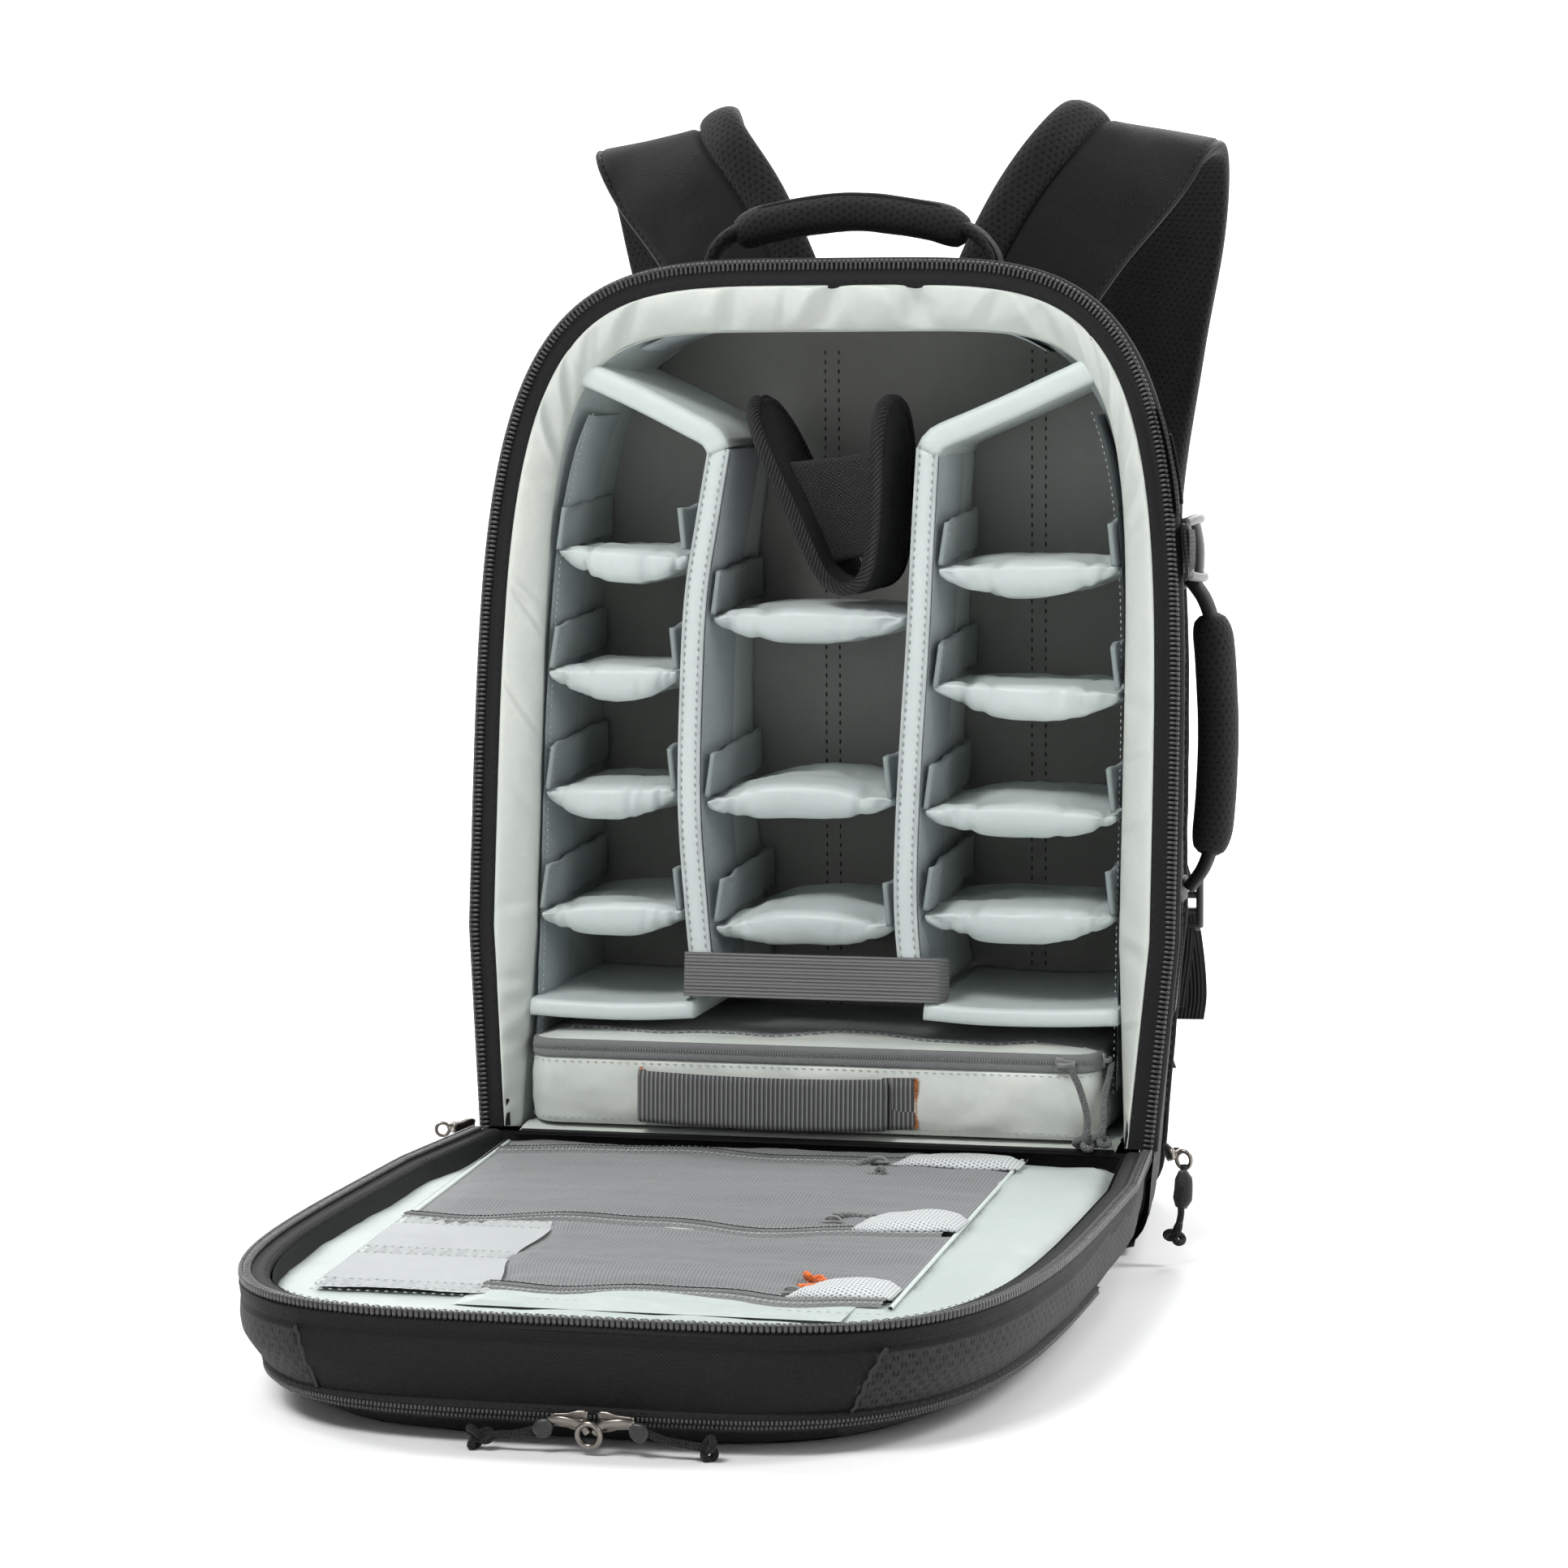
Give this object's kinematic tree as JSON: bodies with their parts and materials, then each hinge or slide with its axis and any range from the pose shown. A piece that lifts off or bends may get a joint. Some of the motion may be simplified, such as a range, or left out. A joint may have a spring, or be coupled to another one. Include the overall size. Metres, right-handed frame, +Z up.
{
  "type": "camera backpack",
  "caption": "Padded camera backpack with a fold-down front panel, movable dividers, an accessory case, carry handles and shoulder straps.",
  "frame": {"origin": "centre of the flat base on the floor", "axes": "+Z up, the opening and the folded-down lid face -Y, +X to the right of someone facing the opening"},
  "size_m": [0.3785, 0.7015, 0.5511],
  "materials": {
    "black_fabric": "woven ballistic cloth",
    "lining": "pale satin lining over foam",
    "foam": "foam",
    "back_lining": "warm grey tricot lining",
    "spacer_mesh": "black spacer mesh",
    "black_zip": "coil zip on woven tape",
    "grey_webbing": "ribbed grey webbing",
    "black_webbing": "ribbed black webbing",
    "grey_mesh": "grey twill mesh",
    "white_mesh": "light vent mesh",
    "gunmetal": "gunmetal plated die casting",
    "grey_cord": "braided cord",
    "orange_cord": "braided cord",
    "black_cord": "braided cord",
    "grey_plastic": "moulded acetal",
    "black_plastic": "moulded acetal"
  },
  "bodies": {
    "pack_body": {"outer_shell": "black_fabric", "base_panel": "black_fabric", "back_cover": "black_fabric", "base_padding": "foam", "padded_walls": "lining", "rim_lip": "lining", "back_board": "back_lining", "back_pads": "spacer_mesh", "main_zip_body": "black_zip", "long_divider_left": "lining", "long_divider_right": "lining", "dividers_left": "lining", "dividers_middle": "lining", "dividers_right": "lining", "elastic_band": "grey_webbing", "cradle_sling": "black_fabric", "hinge_gusset": "black_fabric", "main_sliders": "gunmetal", "side_webbing": "grey_webbing", "buckle_socket": "grey_plastic", "strap_anchors": "black_fabric"},
    "lid": {"lid_shell": "black_fabric", "front_pocket": "black_fabric", "lid_padding": "lining", "main_zip_lid": "black_zip", "front_pocket_zip": "black_zip", "lid_pocket_near": "grey_mesh", "lid_pocket_middle": "grey_mesh", "lid_pocket_far": "grey_mesh", "lid_organiser": "white_mesh"},
    "accessory_case": {"case_body": "lining", "case_top": "grey_mesh", "case_handle": "grey_webbing"},
    "case_slider_a": {"case_slider_front": "gunmetal", "case_cord_front": "grey_cord"},
    "case_slider_b": {"case_slider_side": "gunmetal", "case_cord_side": "grey_cord"},
    "pocket_slider_1": {"pocket_slider_near": "gunmetal", "pocket_cord_near": "grey_cord"},
    "pocket_slider_2": {"pocket_slider_middle": "gunmetal", "pocket_cord_middle": "grey_cord"},
    "pocket_slider_3": {"pocket_slider_far": "gunmetal", "pocket_cord_far": "orange_cord"},
    "front_slider_a": {"front_slider_left": "gunmetal", "front_cord_left": "black_cord"},
    "front_slider_b": {"front_slider_right": "gunmetal", "front_cord_right": "black_cord"},
    "main_pull": {"main_cord_right": "black_cord"},
    "top_handle": {"top_handle_grip": "spacer_mesh", "top_handle_webbing": "black_webbing"},
    "side_handle": {"side_handle_grip": "spacer_mesh", "side_handle_webbing": "black_webbing"},
    "buckle_male": {"buckle_plug": "grey_plastic", "buckle_webbing_rear": "black_webbing"},
    "strap_left": {"shoulder_strap_left": "black_fabric", "strap_webbing_left": "black_webbing", "strap_adjuster_left": "black_plastic"},
    "strap_right": {"shoulder_strap_right": "black_fabric", "strap_webbing_right": "black_webbing", "strap_adjuster_right": "black_plastic"}
  },
  "joints": [
    {"name": "lid_hinge", "type": "hinge", "parent": "pack_body", "child": "lid", "pos_m": [0, -0.084, 0.05], "axis": [1, 0, 0], "range_deg": [-97.3, 0]},
    {"name": "case_slide", "type": "slide", "parent": "pack_body", "child": "accessory_case", "axis": [0, -1, 0], "range_m": [0, 0.12]},
    {"name": "case_slider_a_slide", "type": "slide", "parent": "accessory_case", "child": "case_slider_a", "axis": [-1, 0, 0], "range_m": [0, 0.07]},
    {"name": "case_slider_b_slide", "type": "slide", "parent": "accessory_case", "child": "case_slider_b", "axis": [0, 1, 0], "range_m": [0, 0.05]},
    {"name": "pocket_slider_1_slide", "type": "slide", "parent": "lid", "child": "pocket_slider_1", "axis": [-1, 0, 0], "range_m": [0, 0.15]},
    {"name": "pocket_slider_2_slide", "type": "slide", "parent": "lid", "child": "pocket_slider_2", "axis": [-1, 0, 0], "range_m": [0, 0.09]},
    {"name": "pocket_slider_3_slide", "type": "slide", "parent": "lid", "child": "pocket_slider_3", "axis": [-1, 0, 0], "range_m": [0, 0.1]},
    {"name": "front_slider_a_slide", "type": "slide", "parent": "lid", "child": "front_slider_a", "axis": [-1, 0, 0], "range_m": [0, 0.045]},
    {"name": "front_slider_b_slide", "type": "slide", "parent": "lid", "child": "front_slider_b", "axis": [1, 0, 0], "range_m": [0, 0.03]},
    {"name": "main_pull_swing", "type": "hinge", "parent": "pack_body", "child": "main_pull", "pos_m": [0.1815, -0.093, 0.0455], "axis": [1, 0, 0], "range_deg": [-25, 0]},
    {"name": "top_handle_hinge", "type": "hinge", "parent": "pack_body", "child": "top_handle", "pos_m": [0, 0.012, 0.4645], "axis": [1, 0, 0], "range_deg": [-35, 20]},
    {"name": "side_handle_hinge", "type": "hinge", "parent": "pack_body", "child": "side_handle", "pos_m": [0.17, 0.002, 0.24], "axis": [0, 0, 1], "range_deg": [-9, 9]},
    {"name": "buckle_release", "type": "slide", "parent": "pack_body", "child": "buckle_male", "axis": [0, 1, 0], "range_m": [0, 0.02]},
    {"name": "strap_left_swing", "type": "hinge", "parent": "pack_body", "child": "strap_left", "pos_m": [-0.06, 0.0935, 0.42], "axis": [0.237, 0.003, 0.9715], "range_deg": [-4, 8]},
    {"name": "strap_right_swing", "type": "hinge", "parent": "pack_body", "child": "strap_right", "pos_m": [0.06, 0.0935, 0.42], "axis": [-0.237, 0.003, 0.9715], "range_deg": [-8, 4]}
  ]
}
